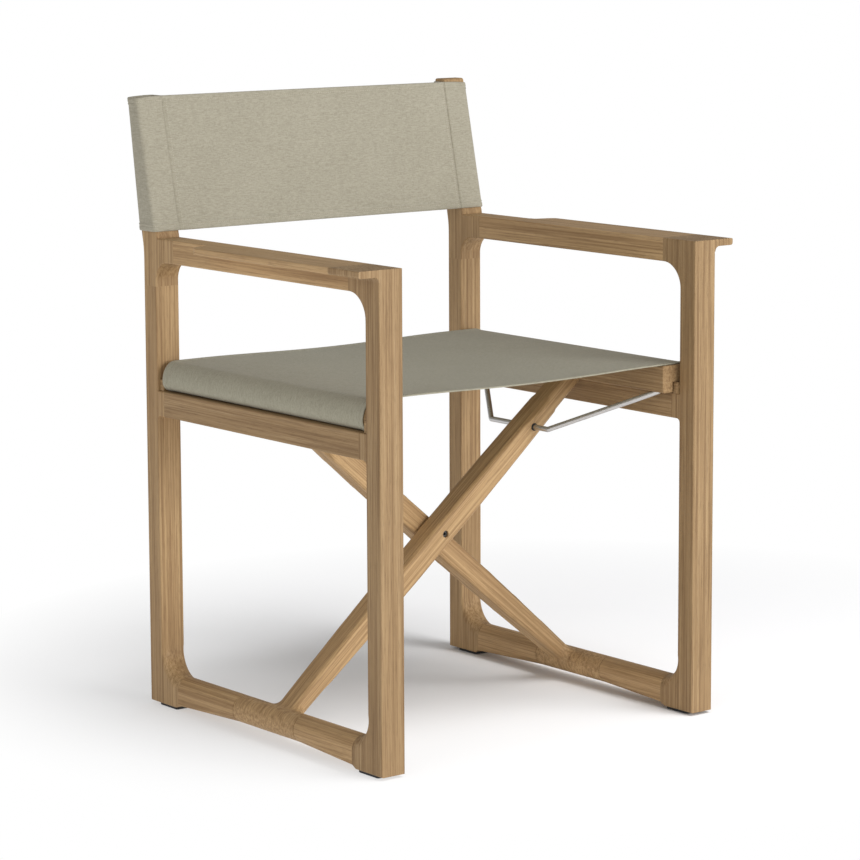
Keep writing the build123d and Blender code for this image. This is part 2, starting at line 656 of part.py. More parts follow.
def seat_bar(bar_y):
    """D-shaped seat bar, flat inside and rounded outside; bar_y places its hinge mortise."""
    bottom, top = SEAT_BAR_Z
    inner_r, outer_r = 2.5, 12.0
    shoulder_x = SEAT_BAR_OUT - SEAT_ROLL
    mortise = sweep_pocket(bar_y - 0.6, bar_y + BAR_T + 0.6, BAR_TIP_HALF + 0.7)
    front_slot = sweep_pocket(-217.5, -178.0, BAIL_R + 0.8)
    rear_slot = sweep_pocket(146.0, 175.0, BAIL_R + 0.8)
    with BuildPart() as bar:
        with BuildSketch(y_plane(-SEAT_BAR_END)):
            with BuildLine():
                Line((SEAT_BAR_IN + inner_r, bottom), (SEAT_BAR_OUT - outer_r, bottom))
                RadiusArc((SEAT_BAR_OUT - outer_r, bottom), (SEAT_BAR_OUT, bottom + outer_r), -outer_r)
                EllipticalCenterArc((shoulder_x, bottom + outer_r), SEAT_ROLL, top - bottom - outer_r)
                Line((shoulder_x, top), (SEAT_BAR_IN + inner_r, top))
                RadiusArc((SEAT_BAR_IN + inner_r, top), (SEAT_BAR_IN, top - inner_r), -inner_r)
                Line((SEAT_BAR_IN, top - inner_r), (SEAT_BAR_IN, bottom + inner_r))
                RadiusArc((SEAT_BAR_IN, bottom + inner_r), (SEAT_BAR_IN + inner_r, bottom), -inner_r)
            make_face()
        extrude(amount=-2 * SEAT_BAR_END)
        chamfer(bar.faces().filter_by(Axis.Y).edges(), 0.8)
        add([mortise, front_slot, rear_slot], mode=Mode.SUBTRACT)
        rod((PIN_X, bar_y - PIN_BEARING, PIN_Z), PIN_LEN, ROD_R + SNUG, mode=Mode.SUBTRACT)
        # short holes that the bail tips turn in
        rod((PIN_X, -222.6, PIN_Z), 6, BAIL_R + RUN, mode=Mode.SUBTRACT)
        rod((PIN_X, 174.0, PIN_Z), 5.6, BAIL_R + RUN, mode=Mode.SUBTRACT)
        # groove for the cloth edge, and notches over the seat stops
        half_groove = GROOVE_W / 2
        low = (GROOVE_X - half_groove, -SEAT_BAR_END - 1, bottom - 1)
        high = (GROOVE_X + half_groove, SEAT_BAR_END + 1, bottom + GROOVE_D)
        block(low, high, Mode.SUBTRACT)
        for side in (-1, 1):
            near, far = side * (STOP_END - 0.4), side * (SEAT_BAR_END + 1)
            low = (NOTCH_X, min(near, far), bottom - 1)
            high = (SEAT_BAR_OUT + 1, max(near, far), STOP_TOP + 0.4)
            block(low, high, Mode.SUBTRACT)
    return bar.part


def hinge_pin(bar_y):
    with BuildPart() as pin:
        rod((PIN_X, bar_y - PIN_BEARING + 0.5, PIN_Z), PIN_LEN - 1, ROD_R)
    return pin.part


def sling_rod():
    """Rod that locks the cloth edge in the seat bar's groove."""
    x = GROOVE_X - GROOVE_W / 2 + 2.4
    with BuildPart() as bar:
        rod((x, -SEAT_CLOTH_END, SEAT_BAR_Z[0] + 4.6), 2 * SEAT_CLOTH_END, 2.2)
    return bar.part


# ---- slings ---------------------------------------------------------------------
def seat_sling():
    """Taut cloth over both seat bars, wrapped round their outsides and tucked in the grooves."""
    bottom, top = SEAT_BAR_Z
    off = SLACK + FABRIC_T / 2
    lip_x = GROOVE_X + GROOVE_W / 2 - off + 0.1
    with BuildPart() as cloth:
        with BuildSketch(y_plane(-SEAT_CLOTH_END)):
            with BuildLine() as path:
                Line((0, top + off), (SEAT_BAR_OUT - SEAT_ROLL, top + off))
                EllipticalCenterArc((SEAT_BAR_OUT - SEAT_ROLL, bottom + 12), SEAT_ROLL + off,
                                    top - bottom - 12 + off)
                RadiusArc((SEAT_BAR_OUT + off, bottom + 12), (SEAT_BAR_OUT - 12, bottom - off), 12 + off)
                Line((SEAT_BAR_OUT - 12, bottom - off), (lip_x, bottom - off))
                Line((lip_x, bottom - off), (lip_x, bottom + 7))
                mirror(about=Plane.YZ)
            trace(line_width=FABRIC_T)
        extrude(amount=-2 * SEAT_CLOTH_END)
    return cloth.part


def sleeve_solid(grow, z_low, z_high, outer):
    """Sleeve block round the right post, as far outside the post as grow."""
    with BuildPart() as block:
        for z in (z_low, z_high):
            with BuildSketch(Plane.XY.offset(z)):
                y0, y1 = on_face(POST_FRONT, z) - grow, on_face(POST_REAR, z) + grow
                with Locations((FRAME_X, (y0 + y1) / 2)):
                    RectangleRounded(STOCK + 2 * grow, y1 - y0, outer)
        loft()
    return block.part


def back_sling():
    """Flat cloth across the front of the posts, with a sleeve over each post."""
    z_low, z_high = BACK_Z
    inner, outer = SLACK, SLACK + FABRIC_T
    sleeve = sleeve_solid(outer, z_low, z_high, EDGE + outer)
    room = sleeve_solid(inner, z_low - 1, z_high + 1, EDGE + inner)
    with BuildPart() as cloth:
        for z in BACK_Z:
            with BuildSketch(Plane.XY.offset(z)):
                with Locations((0, on_face(POST_FRONT, z) - SLACK - FABRIC_T / 2)):
                    Rectangle(2 * (FRAME_X - HALF + 4), FABRIC_T)
        loft()
        add(sleeve)
        mirror(sleeve, about=Plane.YZ)
        add(room, mode=Mode.SUBTRACT)
        mirror(room, about=Plane.YZ, mode=Mode.SUBTRACT)
    return cloth.part


MIRRORED = {
    "front_leg": front_leg,
    "rear_leg": rear_leg,
    "armrest": armrest,
    "seat_rail": seat_rail,
    "tenons": tenons,
    "glides": glides,
    "glide_screws": glide_screws,
    "seat_stops": seat_stops,
    "foot_rod": foot_rod,
    "foot_bushes": foot_bushes,
    "bail": bail,
    "sling_rod": sling_rod,
}
for pair_label, maker in MIRRORED.items():
    save_pair(maker(), pair_label)
save(back_post(POST_TOP), "right_back_post")
save(mirror(back_post(LEFT_POST_TOP), about=Plane.YZ), "left_back_post")
save_pair(foot_rail(-FRONT_JOINT, FOOT_FRONT), "front_foot_rail")
save_pair(foot_rail(REAR_JOINT, FOOT_REAR), "rear_foot_rail")
save(cross_bar_a(), "cross_bar_a")
save(cross_bar_b(), "cross_bar_b")
save(pivot_bolt(), "pivot_bolt")
save(pivot_nut(), "pivot_nut")
save(pivot_washer(), "pivot_washer")
save(bail_bush(BAR_A_Y), "right_bail_bush")
save(mirror(bail_bush(BAR_B_Y), about=Plane.YZ), "left_bail_bush")
save(seat_bar(BAR_A_Y), "right_seat_bar")
save(mirror(seat_bar(BAR_B_Y), about=Plane.YZ), "left_seat_bar")
save(hinge_pin(BAR_A_Y), "right_hinge_pin")
save(mirror(hinge_pin(BAR_B_Y), about=Plane.YZ), "left_hinge_pin")
save(seat_sling(), "seat_sling")
save(back_sling(), "back_sling")
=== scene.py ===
"""Looks of the folding director chair, built around its CAD frame. Metres, front towards -Y."""

import math

import bmesh
import bpy
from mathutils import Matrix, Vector, noise


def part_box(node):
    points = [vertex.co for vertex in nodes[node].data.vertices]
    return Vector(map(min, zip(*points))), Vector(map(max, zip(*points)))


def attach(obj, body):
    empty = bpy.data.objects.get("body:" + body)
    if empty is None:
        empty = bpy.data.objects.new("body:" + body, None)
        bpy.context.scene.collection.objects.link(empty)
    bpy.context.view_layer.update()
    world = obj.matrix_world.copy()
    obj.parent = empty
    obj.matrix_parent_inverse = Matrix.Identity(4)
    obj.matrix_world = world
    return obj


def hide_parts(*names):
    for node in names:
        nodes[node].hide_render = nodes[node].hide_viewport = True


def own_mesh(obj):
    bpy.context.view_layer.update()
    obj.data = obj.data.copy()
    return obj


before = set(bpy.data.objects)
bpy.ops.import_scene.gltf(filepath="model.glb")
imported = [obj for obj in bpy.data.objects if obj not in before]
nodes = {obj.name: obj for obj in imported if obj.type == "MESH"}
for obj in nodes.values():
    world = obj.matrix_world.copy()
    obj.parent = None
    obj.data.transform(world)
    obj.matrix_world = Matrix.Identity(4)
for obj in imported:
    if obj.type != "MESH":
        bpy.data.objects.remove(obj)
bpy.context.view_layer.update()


# ---- node helpers ------------------------------------------------------------------
class Graph:
    """Short hand for building one procedural material."""

    def __init__(self, name):
        self.material = bpy.data.materials.new(name)
        self.material.use_nodes = True
        self.tree = self.material.node_tree
        self.tree.nodes.clear()
        self.output = self.tree.nodes.new("ShaderNodeOutputMaterial")
        self.bsdf = self.tree.nodes.new("ShaderNodeBsdfPrincipled")
        self.link(self.bsdf.outputs[0], self.output.inputs[0])
        self.place = self.tree.nodes.new("ShaderNodeTexCoord").outputs["Object"]

    def link(self, source, target):
        self.tree.links.new(source, target)

    def feed(self, socket, value):
        """Give a socket a link, a value, or nothing."""
        if isinstance(value, bpy.types.NodeSocket):
            self.link(value, socket)
        elif value is not None:
            socket.default_value = value

    def node(self, kind, inputs=(), **settings):
        made = self.tree.nodes.new(kind)
        for key, value in settings.items():
            setattr(made, key, value)
        for key, value in dict(inputs).items():
            self.feed(made.inputs[key], value)
        return made

    def math(self, operation, a, b=None, c=None):
        made = self.node("ShaderNodeMath", operation=operation)
        for socket, value in zip(made.inputs, (a, b, c)):
            self.feed(socket, value)
        return made.outputs[0]

    def mix(self, factor, a, b):
        """Mix two colours; sockets 0, 6 and 7 are the factor and the colours."""
        made = self.node("ShaderNodeMix", data_type="RGBA")
        for socket, value in ((0, factor), (6, a), (7, b)):
            self.feed(made.inputs[socket], value)
        return made.outputs[2]

    def ramp(self, value, low, high, to_low=0.0, to_high=1.0):
        made = self.node("ShaderNodeMapRange", {0: value, 1: low, 2: high, 3: to_low, 4: to_high})
        return made.outputs[0]

    def tint(self, under, over, pattern, low, high, strength=1.0):
        """Lay one colour over another where the pattern passes from low to high."""
        return self.mix(self.ramp(pattern, low, high, 0.0, strength), under, over)

    def noise(self, place, scale, detail=3.0, roughness=0.5, distortion=0.0):
        made = self.node("ShaderNodeTexNoise", {"Vector": place, "Scale": scale, "Detail": detail,
                                                "Roughness": roughness, "Distortion": distortion})
        return made.outputs["Fac"]

    def stretch(self, place, rotation, scale, shift=(0, 0, 0)):
        """Turn and move a place, then scale it along each axis."""
        turned = self.node("ShaderNodeMapping", {"Vector": place, "Location": shift, "Rotation": rotation})
        made = self.node("ShaderNodeMapping", {"Vector": turned.outputs[0], "Scale": scale})
        return made.outputs[0]

    def bump(self, height, strength, distance):
        made = self.node("ShaderNodeBump", {"Height": height, "Strength": strength, "Distance": distance})
        self.link(made.outputs[0], self.bsdf.inputs["Normal"])

    def set(self, **values):
        """Feed the surface's inputs, named with underscores for spaces."""
        for key, value in values.items():
            self.feed(self.bsdf.inputs[key.replace("_", " ")], value)


# ---- materials -------------------------------------------------------------------------
# turn that lays the grain (the local X of the pattern) along each of these directions
GRAIN_TURN = {
    "up": (0.0, math.radians(90), 0.0),
    "back": (0.0, 0.0, math.radians(-90)),
    "rising": (0.0, math.radians(40), 0.0),
    "falling": (0.0, math.radians(-40), 0.0),
}
# scales of the grain's four patterns, along and across it, per metre: broad, streaks, fine lines, pores
GRAIN_SCALES = ((1.8, 24.0), (3.2, 290.0), (10.0, 640.0), (60.0, 1300.0))
SEED_SHIFT = Vector((0.37, 0.73, 0.19))  # moves the pattern from one board to the next
WEAVE_PITCH = 0.0016
YARN_LENGTHS = 140.0  # scale of the unevenness along a yarn, per metre
WARP_SLUBS, WEFT_SLUBS = 900.0, 700.0  # the same across the yarns
CLOUDS = 14.0  # scale of the broad unevenness of the cloth
HEATHER = 420.0  # scale of its flecks


def timber(name, grain, seed, tone):
    """Oiled straight-grained timber: long streaks, fine pores and a faint sheen along the grain."""
    g = Graph(name)
    broad, streak, fine, pore = (
        g.stretch(g.place, GRAIN_TURN[grain], (along, across, across), seed * SEED_SHIFT)
        for along, across in GRAIN_SCALES)
    wander = g.noise(broad, 1.0, 2.0, 0.5, 0.5)
    bands = g.noise(streak, 1.0, 3.0, 0.55, 0.15)
    lines = g.noise(fine, 1.0, 3.0, 0.6)
    pores = g.noise(pore, 1.0, 2.0, 0.6)
    colour = g.tint(tone["dark"], tone["light"], wander, 0.34, 0.66)
    colour = g.tint(colour, tone["line"], bands, 0.47, 0.66, 0.66)
    colour = g.tint(colour, tone["pale"], bands, 0.44, 0.30, 0.45)
    colour = g.tint(colour, tone["line"], lines, 0.50, 0.66, 0.62)
    colour = g.tint(colour, tone["pore"], pores, 0.56, 0.70, 0.34)
    g.set(Base_Color=colour, Roughness=g.ramp(bands, 0.3, 0.7, 0.50, 0.62), Specular_IOR_Level=0.30)
    pits = g.ramp(pores, 0.56, 0.70, 0.0, 0.45)
    g.bump(g.math("SUBTRACT", g.math("MULTIPLY", lines, 0.5), pits), 0.40, 0.0006)
    return g.material


def steel(name, colour, roughness):
    """Drawn steel with fine scratches."""
    g = Graph(name)
    scratch = g.noise(g.stretch(g.place, (0, 0, 0), (900, 60, 900)), 1.0)
    g.set(Base_Color=colour, Metallic=1.0, Roughness=g.ramp(scratch, 0.3, 0.7, roughness, roughness + 0.14))
    g.bump(scratch, 0.08, 0.0002)
    return g.material


def plastic(name, colour):
    """Dull moulded plastic with a fine grit."""
    g = Graph(name)
    grit = g.noise(g.place, 1600.0, 2.0)
    g.set(Base_Color=colour, Roughness=g.ramp(grit, 0.3, 0.7, 0.5, 0.72))
    g.bump(grit, 0.15, 0.0002)
    return g.material


def cloth(name, yarn, tone):
    """Plain weave with slubs; yarn gives the weights of x, y and z along the two yarns."""
    g = Graph(name)
    parts = g.node("ShaderNodeSeparateXYZ", {0: g.place}).outputs

    def wave(weights):
        """One rise and fall for each yarn crossed."""
        total = 0.0
        for axis, weight in enumerate(weights):
            total = g.math("MULTIPLY_ADD", parts[axis], weight, total)
        return g.math("SINE", g.math("MULTIPLY", total, 2 * math.pi / WEAVE_PITCH))

    def fibres(weights, across, detail):
        scale = tuple(YARN_LENGTHS if weight else across for weight in weights)
        place = g.node("ShaderNodeMapping", {"Vector": g.place, "Scale": scale}).outputs[0]
        return g.noise(place, 1.0, detail, 0.6)

    warp, weft = yarn
    weave = g.math("MULTIPLY", wave(warp), wave(weft))
    slub = fibres(warp, WARP_SLUBS, 3.0)
    colour = g.tint(tone["dark"], tone["light"], slub, 0.34, 0.66)
    colour = g.tint(colour, tone["pale"], fibres(weft, WEFT_SLUBS, 2.0), 0.52, 0.72, 0.16)
    # painted shade: the cloth is darkened towards the shade tone in the hollows of the weave
    colour = g.tint(colour, tone["shade"], weave, 0.2, -1.0, 0.30)
    colour = g.tint(colour, tone["pale"], g.noise(g.place, CLOUDS), 0.4, 0.7, 0.10)
    colour = g.tint(colour, tone["shade"], g.noise(g.place, HEATHER), 0.50, 0.70, 0.32)
    g.set(Base_Color=colour, Roughness=0.9, Specular_IOR_Level=0.12, Sheen_Weight=0.12, Sheen_Roughness=0.5)
    g.bump(g.math("ADD", weave, g.math("MULTIPLY", slub, 1.5)), 0.30, 0.0004)
    return g.material


def thread(name, colour):
    """Twisted sewing thread."""
    g = Graph(name)
    twist = g.noise(g.place, 2600.0, 2.0)
    g.set(Base_Color=colour, Roughness=g.ramp(twist, 0.3, 0.7, 0.6, 0.8))
    g.bump(twist, 0.3, 0.0001)
    return g.material


# ---- tones, and the timber and metal pieces -------------------------------------------------
TEAK = {
    "light": (0.393, 0.255, 0.124, 1), "dark": (0.315, 0.198, 0.092, 1), "line": (0.189, 0.106, 0.045, 1),
    "pale": (0.476, 0.329, 0.175, 1), "pore": (0.105, 0.057, 0.024, 1),
}
# A copy of TEAK about 1.4 times lighter: painted light that makes the armrests, foot rails and cross bars
# look more brightly lit. The middle tone below, halfway between, paints weaker light on the rear legs and
# back posts.
TEAK_PAINTED_LIGHT = {
    "light": (0.542, 0.352, 0.170, 1), "dark": (0.433, 0.273, 0.129, 1), "line": (0.260, 0.148, 0.064, 1),
    "pale": (0.649, 0.449, 0.238, 1), "pore": (0.151, 0.080, 0.035, 1),
}
TEAK_HALF_PAINTED_LIGHT = {part: tuple((a + b) / 2 for a, b in zip(TEAK[part], TEAK_PAINTED_LIGHT[part])) for part in TEAK}
BACK_CLOTH = {
    "light": (0.456, 0.423, 0.334, 1), "dark": (0.349, 0.321, 0.246, 1),
    "pale": (0.530, 0.493, 0.399, 1), "shade": (0.233, 0.212, 0.160, 1),
}
SEAT_CLOTH = {
    "light": (0.431, 0.405, 0.311, 1), "dark": (0.336, 0.315, 0.235, 1),
    "pale": (0.510, 0.482, 0.380, 1), "shade": (0.224, 0.208, 0.154, 1),
}

# timber pieces on each side: the way the grain runs, and the tone of the board; the two lighter copies of
# TEAK are painted light, making the parts that take them look more brightly lit
SIDE_TIMBER = {
    "front_leg": ("up", TEAK),
    "rear_leg": ("up", TEAK_HALF_PAINTED_LIGHT),
    "back_post": ("up", TEAK_HALF_PAINTED_LIGHT),
    "armrest": ("back", TEAK_PAINTED_LIGHT),
    "seat_rail": ("back", TEAK),
    "front_foot_rail": ("back", TEAK_PAINTED_LIGHT),
    "rear_foot_rail": ("back", TEAK_PAINTED_LIGHT),
    "tenons": ("back", TEAK),
    "seat_stops": ("back", TEAK),
    "seat_bar": ("back", TEAK),
}
# endings of the names of the metal and plastic pieces
BRIGHT_STEEL = ("_bail", "_foot_rod", "_hinge_pin", "_sling_rod", "_glide_screws")
DARK_STEEL = ("pivot_bolt", "pivot_nut")
BLACK_PLASTIC = ("_glides", "_bail_bush", "_foot_bushes", "pivot_washer")


def paint(node, material):
    """Give a whole mesh one material."""
    node.data.materials.clear()
    node.data.materials.append(material)
    for face in node.data.polygons:
        face.material_index = 0


def paint_cad():
    """Give every carried-over CAD node its own material."""
    boards = [(side, kind) for side in ("left", "right") for kind in SIDE_TIMBER]
    for seed, (side, kind) in enumerate(boards, start=1):
        grain, tone = SIDE_TIMBER[kind]
        paint(nodes[f"{side}_{kind}"], timber(f"teak_{side}_{kind}", grain, seed, tone))
    # the cross bars take the lighter copy of teak: painted light
    paint(nodes["cross_bar_a"], timber("teak_bar_a", "rising", 31, TEAK_PAINTED_LIGHT))
    paint(nodes["cross_bar_b"], timber("teak_bar_b", "falling", 32, TEAK_PAINTED_LIGHT))
    metals = {
        BRIGHT_STEEL: steel("bright_steel", (0.62, 0.61, 0.60, 1), 0.26),
        DARK_STEEL: steel("dark_steel", (0.10, 0.095, 0.09, 1), 0.38),
        BLACK_PLASTIC: plastic("black_plastic", (0.012, 0.012, 0.012, 1)),
    }
    for name, node in nodes.items():
        for endings, material in metals.items():
            if name.endswith(endings):
                paint(node, material)


# ---- slings ------------------------------------------------------------------------------
CLOTH = 0.0012  # thickness of one layer
GAP = 0.0009  # from the timber to the middle of the cloth
RIM = 0.45  # how far the rounded rim of the cloth stands out, in thicknesses
SEAM_LINE = 0.006  # stitches of a hem, from its edge
STITCH = 0.0032  # pitch of the stitches
STITCH_START, STITCH_LENGTH = 0.15, 0.7  # where a stitch starts in its pitch and how long it is
STITCH_SHAPE = ((0.0, 0.35), (0.25, 0.9), (0.5, 1.0), (0.75, 0.9), (1.0, 0.35))  # its swelling, by share
THREAD = 0.0003  # radius of the thread
THREAD_SIDES = ((1, 0), (0.5, 0.8), (-0.5, 0.8), (-1, 0), (-0.5, -0.8), (0.5, -0.8))
# thickness of a hem at each distance from its edge
HEM_SHAPE = ((0.0, 0.0019), (0.0045, 0.0020), (SEAM_LINE, 0.0013), (0.0075, 0.0020), (0.0085, 0.0018),
             (0.0095, CLOTH))
HEM_STATIONS = (0.0, 0.002, 0.0045, 0.0053, SEAM_LINE, 0.0067, 0.0075, 0.0085, 0.0095, 0.012)
HALF_STEPS = 30  # steps across half a span


def hem_thickness(distance):
    """Thickness of a hemmed cloth at a distance from its edge."""
    for (near, thick_near), (far, thick_far) in zip(HEM_SHAPE, HEM_SHAPE[1:]):
        if distance <= far:
            return thick_near + (thick_far - thick_near) * (distance - near) / (far - near)
    return CLOTH


def stations(length, step):
    """Distances from one hemmed edge to the other, close together in the hems."""
    room = length - 2 * HEM_STATIONS[-1]
    count = max(2, round(room / step))
    middle = [HEM_STATIONS[-1] + room * k / count for k in range(1, count)]
    return list(HEM_STATIONS) + middle + [length - d for d in reversed(HEM_STATIONS)]


def shell(grid, thick, side, closed=False, butted=()):
    """Cloth round a grid of points: an outer and an inner face joined by a rounded rim.

    thick(i, j) is the thickness at a point. It all goes outwards, so the inner face keeps its gap to the
    timber. closed joins the last row to the first. butted lists the rows that meet another piece flush.
    Returns the mesh and the outer points with their normals.
    """
    rows, columns = len(grid), len(grid[0])
    bm = bmesh.new()
    outer, inner, skin = {}, {}, {}
    for i in range(rows):
        before, after = (i - 1, (i + 1) % rows) if closed else (max(i - 1, 0), min(i + 1, rows - 1))
        for j in range(columns):
            along = grid[after][j] - grid[before][j]
            across = grid[i][min(j + 1, columns - 1)] - grid[i][max(j - 1, 0)]
            normal = along.cross(across).normalized() * side
            base = grid[i][j] - normal * CLOTH / 2
            skin[i, j] = (base + normal * thick(i, j), normal)
            outer[i, j] = bm.verts.new(skin[i, j][0])
            inner[i, j] = bm.verts.new(base)
    for i in range(rows if closed else rows - 1):
        for j in range(columns - 1):
            ring = [(i, j), ((i + 1) % rows, j), ((i + 1) % rows, j + 1), (i, j + 1)]
            bm.faces.new([outer[key] for key in ring])
            bm.faces.new([inner[key] for key in reversed(ring)])
    low = [(i, 0) for i in range(rows)]
    high = [(i, columns - 1) for i in range(rows)]
    if closed:
        loops = [low, high]
    else:
        first = [(0, j) for j in range(1, columns - 1)]
        last = [(rows - 1, j) for j in range(1, columns - 1)]
        loops = [low + last + high[::-1] + first[::-1]]
    for loop in loops:
        rim = {}
        for i, j in loop:
            inside_i = i if closed or i in butted else min(max(i, 1), rows - 2)
            inside_j = min(max(j, 1), columns - 2)
            away = (grid[i][j] - grid[inside_i][inside_j]).normalized()
            centre = (outer[i, j].co + inner[i, j].co) / 2
            if i not in butted or j in (0, columns - 1):
                centre += away * thick(i, j) * RIM
            rim[i, j] = bm.verts.new(centre)
        for a, b in zip(loop, loop[1:] + loop[:1]):
            bm.faces.new((outer[a], outer[b], rim[b], rim[a]))
            bm.faces.new((rim[a], rim[b], inner[b], inner[a]))
    for face in bm.faces:
        face.smooth = True
    for i in butted:
        for j in range(columns - 1):
            for layer in (outer, inner):
                bm.edges.get((layer[i, j], layer[i, j + 1])).smooth = False
    return bm, skin


def sew(bm, line):
    """Row of short raised stitches along a line of (point, normal) pairs, as the mesh's second material."""
    spots = [0.0]
    for (a, _), (b, _) in zip(line, line[1:]):
        spots.append(spots[-1] + (b - a).length)

    def at(distance):
        for k in range(len(spots) - 1):
            if distance <= spots[k + 1]:
                share = (distance - spots[k]) / (spots[k + 1] - spots[k])
                return line[k][0].lerp(line[k + 1][0], share), line[k][1].lerp(line[k + 1][1], share)
        return line[-1]

    sides = len(THREAD_SIDES)
    for number in range(int(spots[-1] / STITCH)):
        start = (number + STITCH_START) * STITCH
        (a, up), (b, _) = at(start), at(start + STITCH * STITCH_LENGTH)
        along = (b - a).normalized()
        sideways = along.cross(up).normalized()
        rings = []
        for share, swell in STITCH_SHAPE:
            centre = a.lerp(b, share) + up * THREAD * (0.9 * swell - 0.4)
            rings.append([bm.verts.new(centre + (sideways * x + up * z) * THREAD * swell)
                          for x, z in THREAD_SIDES])
        faces = [bm.faces.new(rings[0]), bm.faces.new(rings[-1][::-1])]
        for ring, ahead in zip(rings, rings[1:]):
            for k in range(sides):
                beside = (k + 1) % sides
                faces.append(bm.faces.new((ring[k], ahead[k], ahead[beside], ring[beside])))
        for face in faces:
            face.material_index = 1
            face.smooth = True


def cloth_piece(name, bm, materials, body, stands_for):
    """Turn a finished cloth mesh into a piece that rides on a body."""
    mesh = bpy.data.meshes.new(name)
    bmesh.ops.recalc_face_normals(bm, faces=bm.faces)
    bm.to_mesh(mesh)
    bm.free()
    for material in materials:
        mesh.materials.append(material)
    made = bpy.data.objects.new(name, mesh)
    bpy.context.scene.collection.objects.link(made)
    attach(made, body)
    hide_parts(stands_for)
    return made


def hang(span):
    """Give half a span a mesh of its own.
    """
    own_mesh(span)


def ripple(a, b, height):
    """Slight unevenness of taut cloth."""
    return noise.noise(Vector((a * 7.0, b * 12.0, 3.1))) * height


# ---- seat sling ---------------------------------------------------------------------------
BAR_LOW, BAR_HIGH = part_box("right_seat_bar")
SEAT_LOW, SEAT_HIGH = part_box("seat_sling")
SEAT_TOP = BAR_HIGH[2] + GAP
SEAT_SPLIT = BAR_LOW[0]  # the moving span ends at the bar's inner face
SEAT_ROLL = 0.017  # radius of the bar's outer shoulder
BAR_CORNER = 0.012
TUCK = (0.2576, 0.0070)  # x of the tucked edge, and its height in the groove
SEAT_SAG = 0.0035
SEAT_RIPPLE = 0.0014


def seat_span_point(x, y):
    """Middle of the cloth between the bars, sagging most on the chair's centre plane."""
    across = min(1.0, abs(x) / (SEAT_SPLIT - 0.002))
    sag = SEAT_SAG * (1 - across ** 2) ** 2
    return Vector((x, y, SEAT_TOP - sag + ripple(x, y, SEAT_RIPPLE) * across * (1 - across ** 2)))


def seat_wrap_profile():
    """Middle of the cloth over the bar, round its outside and up into its groove, as (x, z)."""
    shoulder = BAR_HIGH[0] - SEAT_ROLL
    turn_z = BAR_LOW[2] + BAR_CORNER
    under = BAR_LOW[2] - GAP
    flat, roll, corner = 4, 14, 8  # steps over the top, round the shoulder and round the lower corner
    points = [(SEAT_SPLIT + (shoulder - SEAT_SPLIT) * k / flat, SEAT_TOP) for k in range(flat + 1)]
    for k in range(1, roll + 1):
        turn = math.radians(90 * k / roll)
        points.append((shoulder + (SEAT_ROLL + GAP) * math.sin(turn),
                       turn_z + (SEAT_TOP - turn_z) * math.cos(turn)))
    for k in range(1, corner + 1):
        turn = math.radians(90 * k / corner)
        points.append((BAR_HIGH[0] - BAR_CORNER + (BAR_CORNER + GAP) * math.cos(turn),
                       turn_z - (BAR_CORNER + GAP) * math.sin(turn)))
    points += [(TUCK[0] + 0.002, under), (TUCK[0] + 0.0006, under + 0.0003), (TUCK[0], under + 0.0012),
               (TUCK[0], under + TUCK[1])]
    return points


def seat_cloth(materials):
    """The seat sling: a moving half of the span and a fixed wrap for each seat bar."""
    depth = SEAT_HIGH[1] - SEAT_LOW[1]
    rows = stations(depth, 0.012)
    groove = rows.index(SEAM_LINE)
    far_groove = len(rows) - 1 - groove

    def thick(_, j):
        return hem_thickness(min(rows[j], depth - rows[j]))

    for side, name in ((1, "right"), (-1, "left")):
        body = f"{name}_seat_bar"
        steps = [SEAT_SPLIT * k / HALF_STEPS for k in range(HALF_STEPS + 1)]
        grid = [[seat_span_point(side * x, SEAT_LOW[1] + d) for d in rows] for x in steps]
        bm, skin = shell(grid, thick, side, butted=(0, HALF_STEPS))
        for row in (groove, far_groove):
            sew(bm, [skin[i, row] for i in range(len(grid))])
        span = cloth_piece(f"seat_cloth_{name}", bm, materials, body, "seat_sling")
        hang(span)
        grid = [[Vector((side * x, SEAT_LOW[1] + d, z)) for d in rows] for x, z in seat_wrap_profile()]
        bm, skin = shell(grid, thick, side, butted=(0,))
        for row in (groove, far_groove):
            sew(bm, [skin[i, row] for i in range(len(grid) - 3)])
        cloth_piece(f"seat_wrap_{name}", bm, materials, body, "seat_sling")


# ---- back sling ---------------------------------------------------------------------------
POST_LOW, POST_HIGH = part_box("right_back_post")
POST_FRONT = ((0.21665, 0.658), (0.25425, 0.828))  # straight raked faces of a post, as (y, z)
POST_REAR = ((0.25095, 0.650), (0.27565, 0.828))
BACK_BOTTOM = 0.6495
BACK_TOP = 0.8263
END_DROOP = 0.0018  # how far the outer ends of the cloth droop
SEAM_X = POST_LOW[0] - GAP  # seam between the span and a sleeve
SEAM_DIP = 0.0020  # how far the cloth turns in at that seam
SEAM_SPREAD = 0.0035  # how wide that turn is
SEAM_STEPS = (0.006, 0.0045, 0.003, 0.0015, 0.0)  # stations just inside the seam
BACK_BOW = 0.0025
BACK_RIPPLE = 0.0016
SLEEVE_LOOSE = (0.0022, 0.0020)  # from the post to the middle of the sleeve, outside and behind
SLEEVE_RADII = (0.0026, 0.0050, 0.0060, 0.0040)  # corners, from the seam round the outside
SLEEVE_BULGE = 0.0008  # how far its outer side swells


def on_face(face, z):
    """Y of a raked face of the posts at a height."""
    (y0, z0), (y1, z1) = face
    return y0 + (z - z0) * (y1 - y0) / (z1 - z0)


def back_height(x, share):
    """Height of a point of the back cloth, by its share of the way up; the outer ends droop a little."""
    droop = END_DROOP * max(0.0, (abs(x) - SEAM_X) / (POST_HIGH[0] - SEAM_X)) ** 2
    return BACK_BOTTOM + (BACK_TOP - BACK_BOTTOM - droop) * share


